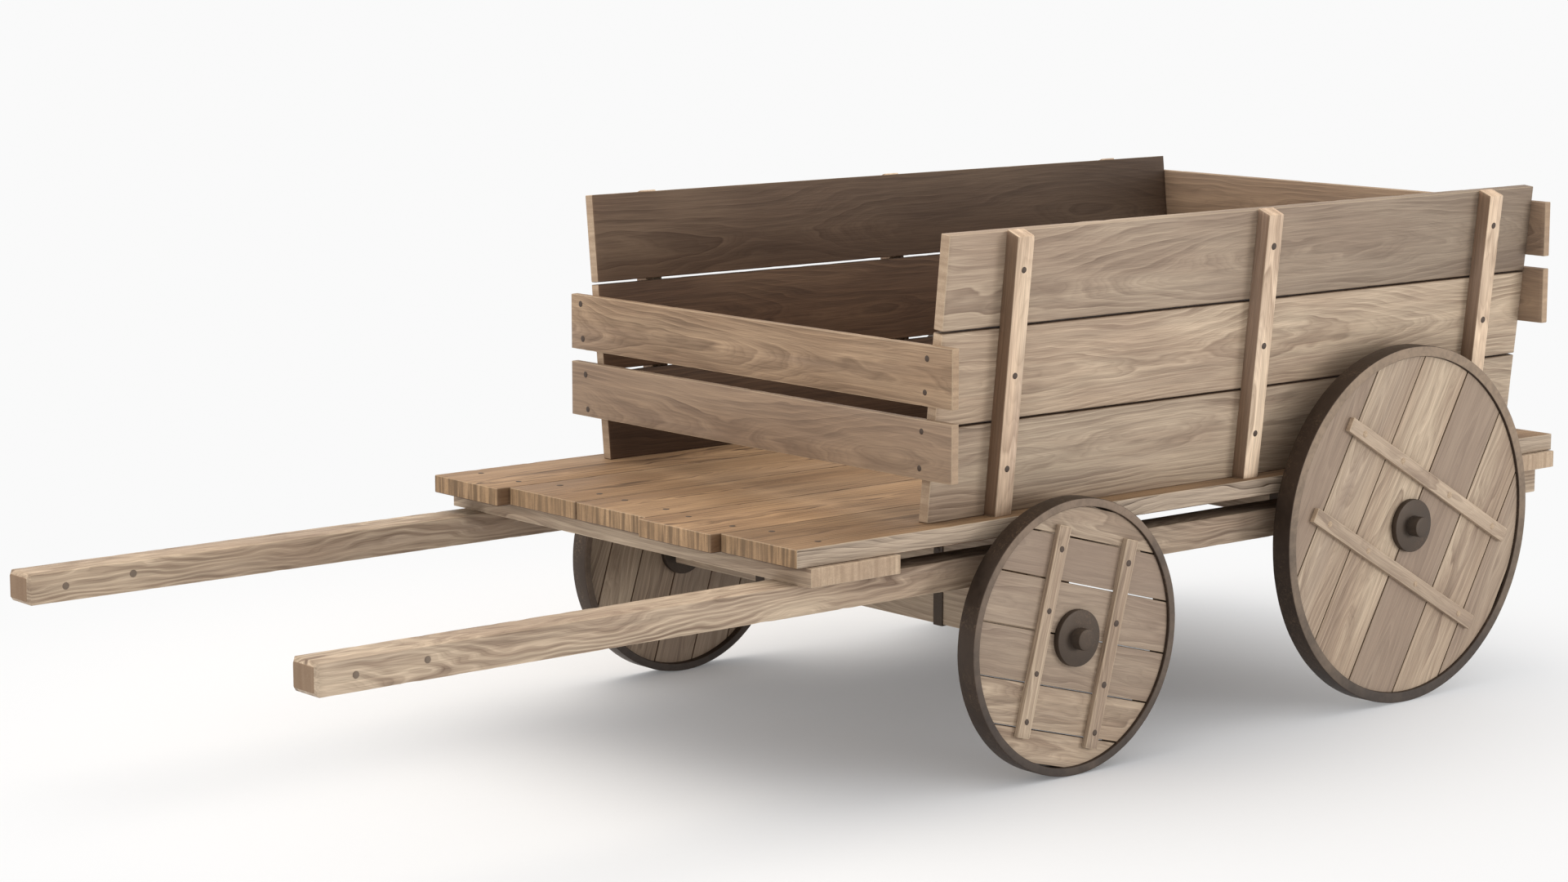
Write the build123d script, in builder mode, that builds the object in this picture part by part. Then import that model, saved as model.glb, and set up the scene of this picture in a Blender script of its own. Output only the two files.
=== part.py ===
from build123d import *

import math
import os

os.makedirs("parts", exist_ok=True)

# The cart stands on its four wheels at z = 0. The shafts point along -X, the left side is -Y.

# Deck
deck_top = 570
plank_count = 5
plank_pitch = 250
plank_seam = 3
plank_thick = 40
plank_fronts = [-683, -651, -651, -672, -648]  # from the right side to the left side
plank_rears = [1776, 1780, 1774, 1778, 1780]
deck_bottom = deck_top - plank_thick

# Cleats under the deck ends, and the two long shafts that they lie on
cleat_thick = 40
cleat_wide = 244
cleat_half = 638
front_cleat_x = -622
rear_cleat_x = 1528
shaft_top = deck_bottom - cleat_thick
shaft_high = 66
shaft_wide = 86
shaft_inner = 509
shaft_front = -1780
shaft_rear = 1758
shaft_chamfer = 9
shaft_mid = shaft_inner + shaft_wide / 2

# Leaning sides, three boards high
side_front = -241
side_rear = 1667
side_inner = 539  # half the inside width at the deck
side_thick = 28
side_lean = math.radians(6.04)
board_levels = {"bottom": (0, 206.1), "middle": (211.1, 412.2), "top": (417.2, 621.9)}  # up the lean
stake_fronts = {"front": -79, "middle": 694, "rear": 1462}
stake_wide = 48
stake_deep = 36.5
stake_top = 1189
stake_drop = 14
stake_nail_levels = [674, 876.5, 1103.5]

# Boards nailed across the ends of the sides
end_board_thick = 20
front_board_half = 664
front_board_levels = {"lower": (667, 794), "upper": (824, 953)}
rear_board_half = 670
rear_board_levels = {"lower": (857, 989), "upper": (1019, 1150)}
front_nail_places = {  # (y, z) of the heads, and how far the shanks reach
    "left": [(-563.6, 690.5), (-569.7, 770), (-579.3, 853.2), (-585.4, 925.4)],
    "right": [(601.3, 684.6), (609.6, 766.2), (618.8, 849.9), (626.7, 932.1)],
}
front_nail_long = {"left": 60, "right": 19}
rear_nail_inset = 22  # from a board's long edge

# Axles: a notched wooden beam, two iron straps round it and an iron rod through it
axle_x = {"front": 70, "rear": 1166.5}
wheel_radius = {"front": 304, "rear": 422.4}
beam_thick = 87
beam_half = 637
beam_below_axle = 27
rod_radius = 24
rod_half = 737
strap_y = 312
strap_wide = 30
strap_thick = 3
strap_nail_level = {"front": 447, "rear": 475}
collar_radius = 62.5
inner_collar = (656, 670.6)
outer_collar = {"front": (698.4, 713), "rear": (694.4, 709)}

# Wheels
tyre_outer_face = {"front": 706, "rear": 702}
tyre_wide = {"front": 51, "rear": 52}
tyre_thick = {"front": 19, "rear": 25}
disc_inner_face = 671
disc_recess = 8
wheel_seams = {"front": [-210, -113.3, 0, 113.3, 210], "rear": [-294, -159, 0, 159, 294]}
wheel_seam_gap = 3
batten_offset = {"front": 105, "rear": 114.5}
batten_long = {"front": 462, "rear": 650}
batten_wide = 35
batten_thick = 14
batten_nail_places = {"front": [-195, -90, 45.5, 180], "rear": [-267, -82, 115, 272]}
bush_radius = 34
running_gap = 0.05
seam_angle = {"front_left": -15, "front_right": 73, "rear_left": 60, "rear_right": 22}

# Nails and pegs
nail_head = 7
nail_head_thick = 3
nail_shank = 2.5
deck_nail_spread = 74
deck_nail_inset = [95, 103, 96, 98, 98]  # behind each plank's front end
peg_radius = 8
shaft_peg_places = [(-1692, 457), (-1532, 463)]


def side_y(z):
    """Half the inside width between the leaning sides at height z."""
    return side_inner + (z - deck_top) * math.tan(side_lean)


def side_point(w, t):
    """A point of a side's cross-section: w up the lean from the deck, t out from the inner face."""
    y = side_inner + w * math.sin(side_lean) + t * math.cos(side_lean)
    return (y, deck_top + w * math.cos(side_lean) - t * math.sin(side_lean))


def save(piece, name):
    piece.part.label = name
    export_step(piece.part, f"parts/{name}.step")


def nail_at(place, heading, length, head=nail_head, shank=nail_shank):
    """Where a nail's head lies, with the nail pointing against the heading."""
    with Locations(Plane(origin=place, z_dir=heading).location):
        Cylinder(head, nail_head_thick, align=(Align.CENTER, Align.CENTER, Align.MAX))
        Cylinder(shank, length, align=(Align.CENTER, Align.CENTER, Align.MAX))


# Deck planks, counted from the right side
plank_y = [(2 - i) * plank_pitch for i in range(plank_count)]
for i, (y, x0, x1) in enumerate(zip(plank_y, plank_fronts, plank_rears)):
    with BuildPart() as deck_plank:
        with BuildSketch(Plane.XY.offset(deck_bottom)):
            with Locations(((x0 + x1) / 2, y)):
                Rectangle(x1 - x0, plank_pitch - plank_seam)
        extrude(amount=plank_thick)
        chamfer(deck_plank.edges().filter_by(Axis.X), 1)
    save(deck_plank, f"deck_plank_{i + 1}")

# Cleats
for end, x0 in {"front": front_cleat_x, "rear": rear_cleat_x}.items():
    with BuildPart() as cleat:
        with BuildSketch(Plane.XY.offset(shaft_top)):
            with Locations((x0 + cleat_wide / 2, 0)):
                Rectangle(cleat_wide, 2 * cleat_half)
        extrude(amount=cleat_thick)
    save(cleat, f"{end}_cleat")

# Shafts, chamfered round the hand end and hollowed over the rear axle rod
for side, s in {"left": -1, "right": 1}.items():
    with BuildPart() as shaft:
        with BuildSketch(Plane.YZ.offset(shaft_front)):
            with Locations((s * shaft_mid, shaft_top - shaft_high / 2)):
                Rectangle(shaft_wide, shaft_high)
        extrude(amount=shaft_rear - shaft_front)
        chamfer(shaft.faces().sort_by(Axis.X)[0].edges(), shaft_chamfer)
        rear_axis = Plane(origin=(axle_x["rear"], 0, wheel_radius["rear"]), z_dir=(0, 1, 0))
        with Locations(rear_axis.location):
            Cylinder(rod_radius + 0.3, 2 * rod_half, mode=Mode.SUBTRACT)
    save(shaft, f"{side}_shaft")

# Side boards, the bottom ones cut to sit flat on the deck
for side, s in {"left": -1, "right": 1}.items():
    for level, (w0, w1) in board_levels.items():
        foot = max(w0, side_thick * math.tan(side_lean))
        inner = [side_point(w1, 0), side_point(w0, 0)]
        corners = inner + [side_point(foot, side_thick), side_point(w1, side_thick)]
        with BuildPart() as side_board:
            with BuildSketch(Plane.YZ.offset(side_front)):
                with BuildLine():
                    Polyline([(s * y, z) for y, z in corners], close=True)
                make_face()
            extrude(amount=side_rear - side_front)
        save(side_board, f"{side}_side_board_{level}")

# Stakes on the outside of the sides, with a sloping top
for side, s in {"left": -1, "right": 1}.items():
    for place, x0 in stake_fronts.items():
        t = side_thick / math.cos(side_lean)
        d = stake_deep / math.cos(side_lean)
        low = stake_top - stake_drop
        corners = [
            (side_y(deck_top) + t, deck_top),
            (side_y(deck_top) + t + d, deck_top),
            (side_y(low) + t + d, low),
            (side_y(stake_top) + t, stake_top),
        ]
        with BuildPart() as stake:
            with BuildSketch(Plane.YZ.offset(x0)):
                with BuildLine():
                    Polyline([(s * y, z) for y, z in corners], close=True)
                make_face()
            extrude(amount=stake_wide)
        save(stake, f"{side}_stake_{place}")

# End boards
for end, half, levels in [
    ("front", front_board_half, front_board_levels),
    ("rear", rear_board_half, rear_board_levels),
]:
    x0 = side_front - end_board_thick if end == "front" else side_rear
    for level, (z0, z1) in levels.items():
        with BuildPart() as end_board:
            with BuildSketch(Plane.YZ.offset(x0)):
                with Locations((0, (z0 + z1) / 2)):
                    Rectangle(2 * half, z1 - z0)
            extrude(amount=end_board_thick)
        save(end_board, f"{end}_board_{level}")

# Axle beams: raised between the shafts to carry the deck, notched for each shaft, bored for the rod
for end, x in axle_x.items():
    axis_z = wheel_radius[end]
    beam_bottom = axis_z - beam_below_axle
    shaft_bottom = shaft_top - shaft_high
    half_outline = [
        (beam_half, beam_bottom),
        (beam_half, shaft_top),
        (shaft_inner + shaft_wide, shaft_top),
        (shaft_inner + shaft_wide, shaft_bottom),
        (shaft_inner, shaft_bottom),
        (shaft_inner, deck_bottom),
    ]
    outline = half_outline + [(-y, z) for y, z in reversed(half_outline)]
    with BuildPart() as axle_beam:
        with BuildSketch(Plane.YZ.offset(x - beam_thick / 2)):
            with BuildLine():
                Polyline(outline, close=True)
            make_face()
        extrude(amount=beam_thick)
        with Locations(Plane(origin=(x, 0, axis_z), z_dir=(0, 1, 0)).location):
            Cylinder(rod_radius + 0.1, 2 * rod_half, mode=Mode.SUBTRACT)
    save(axle_beam, f"{end}_axle_beam")

    with BuildPart() as axle_straps:
        for s in (-1, 1):
            with BuildSketch(Plane.XZ.offset(-s * strap_y - strap_wide / 2)):
                with BuildLine():
                    Polyline(
                        (x - beam_thick / 2 - strap_thick, deck_bottom),
                        (x - beam_thick / 2 - strap_thick, beam_bottom - strap_thick),
                        (x + beam_thick / 2 + strap_thick, beam_bottom - strap_thick),
                        (x + beam_thick / 2 + strap_thick, deck_bottom),
                        (x + beam_thick / 2, deck_bottom),
                        (x + beam_thick / 2, beam_bottom),
                        (x - beam_thick / 2, beam_bottom),
                        (x - beam_thick / 2, deck_bottom),
                        close=True,
                    )
                make_face()
            extrude(amount=strap_wide)
    save(axle_straps, f"{end}_axle_straps")

    axle_plane = Plane(origin=(x, 0, axis_z), x_dir=(1, 0, 0), z_dir=(0, 1, 0))
    with BuildPart() as axle_rod:
        with BuildSketch(axle_plane.offset(-rod_half)):
            Circle(rod_radius)
        extrude(amount=2 * rod_half)
        chamfer(axle_rod.edges().filter_by(GeomType.CIRCLE), 2)
    save(axle_rod, f"{end}_axle_rod")

    # Inner and outer collars are keyed to the rod and keep the wheels in place
    with BuildPart() as axle_collars:
        for s in (-1, 1):
            for y0, y1 in (inner_collar, outer_collar[end]):
                with BuildSketch(axle_plane.offset(y0 if s > 0 else -y1)):
                    Circle(collar_radius)
                    Circle(rod_radius + 0.02, mode=Mode.SUBTRACT)
                extrude(amount=y1 - y0)
    save(axle_collars, f"{end}_axle_collars")

# Wheels, built lying in their own plane: its x runs along the seams, its y across them
for end in ("front", "rear"):
    outer_radius = wheel_radius[end]
    disc_radius = outer_radius - tyre_thick[end]
    disc_outer = tyre_outer_face[end] - disc_recess
    disc_thick = disc_outer - disc_inner_face
    for side, s in {"left": -1, "right": 1}.items():
        wheel = f"{end}_{side}"
        angle = math.radians(seam_angle[wheel])
        hub = Plane(
            origin=(axle_x[end], 0, outer_radius),
            x_dir=(math.cos(angle), 0, math.sin(angle)),
            z_dir=(0, s, 0),
        )

        with BuildPart() as wheel_planks:
            with BuildSketch(hub.offset(disc_inner_face)):
                Circle(disc_radius - 0.2)
                Circle(bush_radius + 0.1, mode=Mode.SUBTRACT)
                with Locations(*[(0, seam) for seam in wheel_seams[end]]):
                    Rectangle(2 * outer_radius, wheel_seam_gap, mode=Mode.SUBTRACT)
            extrude(amount=disc_thick)
        save(wheel_planks, f"{wheel}_wheel_planks")

        with BuildPart() as tyre:
            with BuildSketch(hub.offset(tyre_outer_face[end] - tyre_wide[end])):
                Circle(outer_radius)
                Circle(disc_radius, mode=Mode.SUBTRACT)
            extrude(amount=tyre_wide[end])
            chamfer(tyre.edges().filter_by(GeomType.CIRCLE), 1)
        save(tyre, f"{wheel}_tyre")

        with BuildPart() as battens:
            with BuildSketch(hub.offset(disc_outer)):
                with Locations((batten_offset[end], 0), (-batten_offset[end], 0)):
                    Rectangle(batten_wide, batten_long[end])
            extrude(amount=batten_thick)
            chamfer(battens.faces().group_by(Axis(hub.origin, hub.z_dir))[-1].edges(), 1.5)
        save(battens, f"{wheel}_battens")

        with BuildPart() as batten_nails:
            face = hub.offset(disc_outer + batten_thick)
            for u in (-batten_offset[end], batten_offset[end]):
                for v in batten_nail_places[end]:
                    if end == "front":
                        nail_at(face.from_local_coords((u, v, 0.5)), hub.z_dir, 38)
                    else:
                        nail_at(face.from_local_coords((u, v, 1)), hub.z_dir, 38, 8, 8)
        save(batten_nails, f"{wheel}_batten_{'nails' if end == 'front' else 'pegs'}")

        with BuildPart() as hub_bush:
            with BuildSketch(hub.offset(disc_inner_face + 0.2)):
                Circle(bush_radius)
                Circle(rod_radius + running_gap, mode=Mode.SUBTRACT)
            extrude(amount=disc_thick - 0.4)
        save(hub_bush, f"{wheel}_hub_bush")

# Nails that hold each deck plank to the cleats
with BuildPart() as deck_nails:
    for y, x0, x1, inset in zip(plank_y, plank_fronts, plank_rears, deck_nail_inset):
        for x in (x0 + inset, x1 - inset):
            for offset_y in (-deck_nail_spread, deck_nail_spread):
                nail_at((x, y + offset_y, deck_top), (0, 0, 1), 72)
save(deck_nails, "deck_nails")

# Nails through each stake into each side board
with BuildPart() as stake_nails:
    out = (side_thick + stake_deep + 0.5) / math.cos(side_lean)
    for s in (-1, 1):
        heading = (0, s * math.cos(side_lean), -math.sin(side_lean))
        for x0 in stake_fronts.values():
            for z in stake_nail_levels:
                nail_at((x0 + stake_wide / 2, s * (side_y(z) + out), z), heading, 58)
save(stake_nails, "stake_nails")

# Nails through the end boards; the front ones on the right pass outside the side and stay in the board
with BuildPart() as end_board_nails:
    for side, places in front_nail_places.items():
        for y, z in places:
            nail_at((side_front - end_board_thick - 0.5, y, z), (-1, 0, 0), front_nail_long[side])
    for z0, z1 in rear_board_levels.values():
        for z in (z0 + rear_nail_inset, z1 - rear_nail_inset):
            for s in (-1, 1):
                y = s * (side_y(z) + side_thick / 2)
                nail_at((side_rear + end_board_thick + 0.5, y, z), (1, 0, 0), 60)
save(end_board_nails, "end_board_nails")

# Nails that hold the straps to the front and rear faces of the beams, above the rod
with BuildPart() as strap_nails:
    for end, x in axle_x.items():
        for s in (-1, 1):
            for face_side in (-1, 1):
                face_x = x + face_side * (beam_thick / 2 + strap_thick + 2)
                nail_at((face_x, s * strap_y, strap_nail_level[end]), (face_side, 0, 0), 34, 6)
save(strap_nails, "strap_nails")

# Pegs right through the hand end of each shaft
with BuildPart() as shaft_pegs:
    for s in (-1, 1):
        for x, z in shaft_peg_places:
            with Locations(Plane(origin=(x, s * shaft_mid, z), z_dir=(0, 1, 0)).location):
                Cylinder(peg_radius, shaft_wide + 1)
save(shaft_pegs, "shaft_pegs")
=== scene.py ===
import math
import random

import bmesh
import bpy
from mathutils import Matrix, Vector


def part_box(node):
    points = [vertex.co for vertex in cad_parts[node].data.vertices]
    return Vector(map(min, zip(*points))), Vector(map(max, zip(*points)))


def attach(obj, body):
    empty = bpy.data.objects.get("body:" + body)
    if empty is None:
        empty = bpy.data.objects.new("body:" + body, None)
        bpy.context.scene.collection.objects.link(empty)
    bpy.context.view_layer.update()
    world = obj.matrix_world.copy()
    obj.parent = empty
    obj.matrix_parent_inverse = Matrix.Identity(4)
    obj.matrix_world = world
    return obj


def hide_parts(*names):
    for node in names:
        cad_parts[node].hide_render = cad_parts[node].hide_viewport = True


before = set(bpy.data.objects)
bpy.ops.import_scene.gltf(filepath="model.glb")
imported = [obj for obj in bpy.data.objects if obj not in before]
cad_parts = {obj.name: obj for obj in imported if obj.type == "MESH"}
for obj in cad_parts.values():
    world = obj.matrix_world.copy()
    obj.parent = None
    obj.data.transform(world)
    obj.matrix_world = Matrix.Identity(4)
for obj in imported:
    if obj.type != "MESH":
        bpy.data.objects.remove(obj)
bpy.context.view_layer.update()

scene = bpy.context.scene
scene.view_settings.view_transform = "Standard"
sides = {"left": -1, "right": 1}  # which way outward is along Y
ends = ("front", "rear")
stakePlaces = ("front", "middle", "rear")

print("stage 1: camera, light and floor")

studio = {
    "cameraPlace": (-5.213, -6.050, 1.902),
    "azimuth": -39.86,
    "elevation": 8.876,
    "lens": 81.6,
    "sensor": 36,
    "farthest": 200,
    "skyColor": (0.955, 0.955, 0.955),
    "skyLight": 0.95,
    "skyLightColor": (1, 0.985, 0.97),
    "floorColor": (0.77, 0.79, 0.82),
    "floorSpeckle": 0.985,
    "floorGlow": 0.12,  # share of the sky's light that the shadows keep
    "floorFade": (0.7, 2.9),  # metres from the cart's middle between which the floor melts into the sky
    "floorReach": 60,
    # where each softbox stands, what it is turned to, its size, power and colour
    "softboxes": {
        "highSoftbox": ((-0.4, 1.4, 6.2), (0.3, 0, 0.4), (7.0, 5.0), 225, (1, 0.89, 0.76)),
        "lowSoftbox": ((5.2, -8.6, 1.1), (0.2, -0.5, 0.7), (3.2, 2.0), 270, (1, 0.985, 0.965)),
        "frontSoftbox": ((-6.2, 2.2, 1.9), (-0.4, 0, 0.6), (2.6, 2.0), 40, (1, 0.93, 0.83)),
    },
}


def setCamera():
    data = bpy.data.cameras.new("camera")
    data.sensor_width = studio["sensor"]
    data.lens = studio["lens"]
    data.clip_end = studio["farthest"]
    camera = bpy.data.objects.new("camera", data)
    scene.collection.objects.link(camera)
    turn, tilt = math.radians(studio["azimuth"]), math.radians(studio["elevation"])
    back = Vector((math.sin(turn) * math.cos(tilt), -math.cos(turn) * math.cos(tilt), math.sin(tilt)))
    camera.location = studio["cameraPlace"]
    camera.rotation_euler = (-back).to_track_quat("-Z", "Y").to_euler()
    scene.camera = camera


def addSoftbox(name, place, target, size, power, color):
    data = bpy.data.lights.new(name, "AREA")
    data.shape = "RECTANGLE"
    data.size, data.size_y = size
    data.energy = power
    data.color = color
    lamp = bpy.data.objects.new(name, data)
    scene.collection.objects.link(lamp)
    lamp.location = place
    lamp.rotation_euler = (Vector(target) - Vector(place)).to_track_quat("-Z", "Y").to_euler()


# Node helpers, used by materials and geometry alike

def openSocket(sockets, name):
    return next(s for s in sockets if s.name == name and s.enabled)


def put(tree, kind, inputs=None, **settings):
    node = tree.nodes.new(kind)
    for name, value in settings.items():
        setattr(node, name, value)
    for key, value in (inputs or {}).items():
        socket = node.inputs[key] if isinstance(key, int) else openSocket(node.inputs, key)
        if isinstance(value, bpy.types.NodeSocket):
            tree.links.new(value, socket)
        else:
            socket.default_value = value
    return node


def feed(tree, kind, inputs=None, **settings):  # puts a node and hands on its first output
    return put(tree, kind, inputs, **settings).outputs[0]


def calc(tree, operation, *values, clamp=False):
    return feed(tree, "ShaderNodeMath", dict(enumerate(values)), operation=operation, use_clamp=clamp)


def times(tree, product, *others):
    for value in others:
        product = calc(tree, "MULTIPLY", product, value)
    return product


def vectorCalc(tree, operation, *values):
    return feed(tree, "ShaderNodeVectorMath", dict(enumerate(values)), operation=operation)


def lengthOf(tree, vector):
    return put(tree, "ShaderNodeVectorMath", {0: vector}, operation="LENGTH").outputs["Value"]


def splitVector(tree, vector):
    return put(tree, "ShaderNodeSeparateXYZ", {0: vector}).outputs


def joinVector(tree, x, y, z):
    return feed(tree, "ShaderNodeCombineXYZ", {0: x, 1: y, 2: z})


def noise(tree, vector, scale=1.0, detail=2.0, roughness=0.5, distortion=0.0):
    sockets = {"Vector": vector, "Scale": scale, "Detail": detail}
    sockets.update({"Roughness": roughness, "Distortion": distortion})
    return feed(tree, "ShaderNodeTexNoise", sockets)


def smoothBand(tree, value, low, high, toLow=0.0, toHigh=1.0):
    limits = {"Value": value, "From Min": low, "From Max": high, "To Min": toLow, "To Max": toHigh}
    node = put(tree, "ShaderNodeMapRange", limits, interpolation_type="SMOOTHSTEP")
    return openSocket(node.outputs, "Result")


def mix(tree, inputs, **settings):
    return openSocket(put(tree, "ShaderNodeMix", inputs, **settings).outputs, "Result")


def mixColor(tree, factor, first, second, blend="MIX"):
    first, second = ((*c, 1) if isinstance(c, tuple) else c for c in (first, second))
    inputs = {"Factor": factor, "A": first, "B": second}
    return mix(tree, inputs, data_type="RGBA", blend_type=blend, clamp_factor=True)


def dimmed(tree, color, tone):  # the colour times a brightness
    return mixColor(tree, 1.0, color, joinVector(tree, tone, tone, tone), "MULTIPLY")


# A colour given as it looks on a screen, 0 to 255, as the shader's linear values
def paint(red, green, blue):
    parts = [c / 255 for c in (red, green, blue)]
    return tuple(c / 12.92 if c <= 0.04045 else ((c + 0.055) / 1.055) ** 2.4 for c in parts)


# A node group with named sockets: {name: default or kind} in, {kind: names} out
def newGroup(name, kind, inputs, outputs):
    group = bpy.data.node_groups.new(name, kind)
    kinds = {int: "NodeSocketInt", tuple: "NodeSocketVector", float: "NodeSocketFloat"}
    for label, value in inputs.items():
        socketKind = kinds.get(type(value), value)
        socket = group.interface.new_socket(label, in_out="INPUT", socket_type=socketKind)
        if socketKind != value:
            socket.default_value = value
    for socketKind, labels in outputs.items():
        for label in labels:
            group.interface.new_socket(label, in_out="OUTPUT", socket_type="NodeSocket" + socketKind)
    return group, group.nodes.new("NodeGroupInput").outputs, group.nodes.new("NodeGroupOutput").inputs


def useGroup(tree, group, inputs):
    return put(tree, "ShaderNodeGroup", inputs, node_tree=group).outputs


def startMaterial(name):
    material = bpy.data.materials.new(name)
    material.use_nodes = True
    material.node_tree.nodes.clear()
    return material, material.node_tree


def endMaterial(tree, inputs, height, strength, distance):
    bump = feed(tree, "ShaderNodeBump", {"Strength": strength, "Distance": distance, "Height": height})
    shader = feed(tree, "ShaderNodeBsdfPrincipled", {**inputs, "Normal": bump})
    put(tree, "ShaderNodeOutputMaterial", {"Surface": shader})


def setSky():
    world = bpy.data.worlds.new("studioSky")
    scene.world = world
    world.use_nodes = True
    tree = world.node_tree
    tree.nodes.clear()
    light = {"Color": (*studio["skyLightColor"], 1), "Strength": studio["skyLight"]}
    lit = feed(tree, "ShaderNodeBackground", light)
    seen = feed(tree, "ShaderNodeBackground", {"Color": (*studio["skyColor"], 1), "Strength": 1.0})
    ray = put(tree, "ShaderNodeLightPath").outputs["Is Camera Ray"]
    both = feed(tree, "ShaderNodeMixShader", {0: ray, 1: lit, 2: seen})
    put(tree, "ShaderNodeOutputWorld", {"Surface": both})


def makeFloor():
    mesh = bpy.data.meshes.new("floor")
    reach = studio["floorReach"]
    corners = [(-reach, -reach, 0), (reach, -reach, 0), (reach, reach, 0), (-reach, reach, 0)]
    mesh.from_pydata(corners, [], [(0, 1, 2, 3)])
    floor = bpy.data.objects.new("floor", mesh)
    scene.collection.objects.link(floor)
    material, tree = startMaterial("paleFloor")
    place = put(tree, "ShaderNodeTexCoord").outputs["Object"]
    fade = smoothBand(tree, lengthOf(tree, place), *studio["floorFade"], studio["floorGlow"], 1.0)
    speckle = tuple(c * studio["floorSpeckle"] for c in studio["floorColor"])
    tone = mixColor(tree, noise(tree, place, 38, 4), speckle, studio["floorColor"])
    matte = feed(tree, "ShaderNodeBsdfPrincipled", {"Base Color": tone, "Roughness": 0.85})
    glow = feed(tree, "ShaderNodeEmission", {"Color": (*studio["skyColor"], 1)})
    both = feed(tree, "ShaderNodeMixShader", {0: fade, 1: matte, 2: glow})
    put(tree, "ShaderNodeOutputMaterial", {"Surface": both})
    mesh.materials.append(material)


setCamera()
setSky()
for name, values in studio["softboxes"].items():
    addSoftbox(name, *values)
makeFloor()

print("stage 2: finishes")

boardZones = {  # metres in from a board's own faces
    "sideSkin": 0.0012,
    "endSkin": 0.0011,
    "underSkin": 0.0015,
    "arrisFade": (0.001, 0.006),
    "endFade": (0.02, 0.06),
    "endSeam": 0.2,  # share of a seam's dirt and painted shade that reaches the board's ends
    "creviceStart": 0.0005,
    "faceMargin": 0.0002,
}


# Where a point lies in its own board: its place in the log, how near the arrises and the joints with the
# next boards are, whether it is on an end, how much painted shade its lower face takes, and the board's
# own brightness and greyness
def makeBoardPlace():
    masks = ["Edge", "Seam", "Crevice", "Bare Side", "Painted Shade", "End Face", "Tone", "Greyness"]
    outputs = {"Vector": ["Grain"], "Float": masks}
    group, given, out = newGroup("boardPlace", "ShaderNodeTree", {"Crevice Width": 0.004}, outputs)
    link = group.links.new

    def stored(label):
        return put(group, "ShaderNodeAttribute", attribute_name=label).outputs["Vector"]

    local, half = stored("local"), stored("half")
    link(vectorCalc(group, "ADD", local, stored("log")), out["Grain"])
    localX, localY, localZ = splitVector(group, local)
    gap = vectorCalc(group, "SUBTRACT", half, vectorCalc(group, "ABSOLUTE", local))
    gapX, gapY, gapZ = splitVector(group, gap)

    # the middle one of the three gaps is the way to the nearest arris
    lower = calc(group, "MINIMUM", gapX, gapY)
    upper = calc(group, "MAXIMUM", gapX, gapY)
    link(calc(group, "MAXIMUM", lower, calc(group, "MINIMUM", upper, gapZ)), out["Edge"])

    # "snug" says whether the low side and the high side have a neighbour, and how much painted shade the
    # lower face takes
    snugLow, snugHigh, shadeUnder = splitVector(group, stored("snug"))
    isHigh = calc(group, "GREATER_THAN", localY, 0.0)
    joined = calc(group, "MULTIPLY_ADD", isHigh, calc(group, "SUBTRACT", snugHigh, snugLow), snugLow)
    onSide = calc(group, "LESS_THAN", gapY, boardZones["sideSkin"])
    awayFromEnd = smoothBand(group, gapX, *boardZones["endFade"], boardZones["endSeam"], 1.0)
    inside = times(group, smoothBand(group, gapZ, *boardZones["arrisFade"]), awayFromEnd)
    link(times(group, onSide, joined, inside), out["Seam"])
    crevice = smoothBand(group, gapY, boardZones["creviceStart"], given["Crevice Width"], 1.0, 0.0)
    link(times(group, crevice, joined), out["Crevice"])
    link(times(group, onSide, calc(group, "SUBTRACT", 1.0, joined)), out["Bare Side"])
    # painted shade: the lower face darkened by the third number of "snug"
    height = calc(group, "ADD", localZ, splitVector(group, half)[2])
    under = calc(group, "SUBTRACT", boardZones["underSkin"], height)
    link(times(group, calc(group, "GREATER_THAN", under, 0.0), shadeUnder), out["Painted Shade"])

    beside = calc(group, "ADD", calc(group, "MINIMUM", gapY, gapZ), boardZones["faceMargin"])
    ahead = calc(group, "LESS_THAN", gapX, boardZones["endSkin"])
    link(times(group, ahead, calc(group, "LESS_THAN", gapX, beside)), out["End Face"])

    # "tint" holds the brightness, the greyness and the change of brightness per metre of length
    bright, grey, change = splitVector(group, stored("tint"))
    link(calc(group, "MULTIPLY_ADD", change, localX, bright), out["Tone"])
    link(grey, out["Greyness"])
    return group


grainPatterns = {  # repeats per metre along and across the grain, detail and roughness
    "wander": (1.0, 3.2, 1.0, 0.4),
    "ripple": (3.6, 17.0, 2.0, 0.5),
    "shiver": (14.0, 70.0, 2.0, 0.55),
    "fading": (4.5, 26.0, 2.0, 0.5),
    "cloud": (1.8, 8.0, 3.0, 0.5),
    "mauve": (1.3, 11.0, 2.0, 0.5),
    "streak": (3.2, 95.0, 3.0, 0.6),
    "fibre": (9.0, 420.0, 3.0, 0.65),
    "pore": (38.0, 900.0, 2.0, 0.5),
}
ringShape = {
    "shiver": 0.0016,  # metres
    "rise": (1.6, 0.55),  # power and height of the slow darkening through a year
    "lateWood": (0.6, 0.9, 0.0, 0.5),  # the year's dark line: from where to where, and its height
    "yearEnd": 0.9,
    "swell": (1.5, 0.95),  # power and height of a soft ring
    "luck": (0.75, 0.25),  # how much the years differ, and the palest one
    "fading": (0.3, 0.7, 0.35, 1.15),
    "fineLines": (3.7, 2.0, 0.8, 0.24),  # lines per year, power, where they end, height
    "stripes": (3.0, 0.06, 80),  # end grain: shift, flattening and stripes per metre
    "stripeBand": (0.34, 0.66),
    "poreBand": (0.6, 0.78),
    "relief": {"figure": -0.1, "fibre": 0.32, "pore": -0.6},
}


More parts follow.
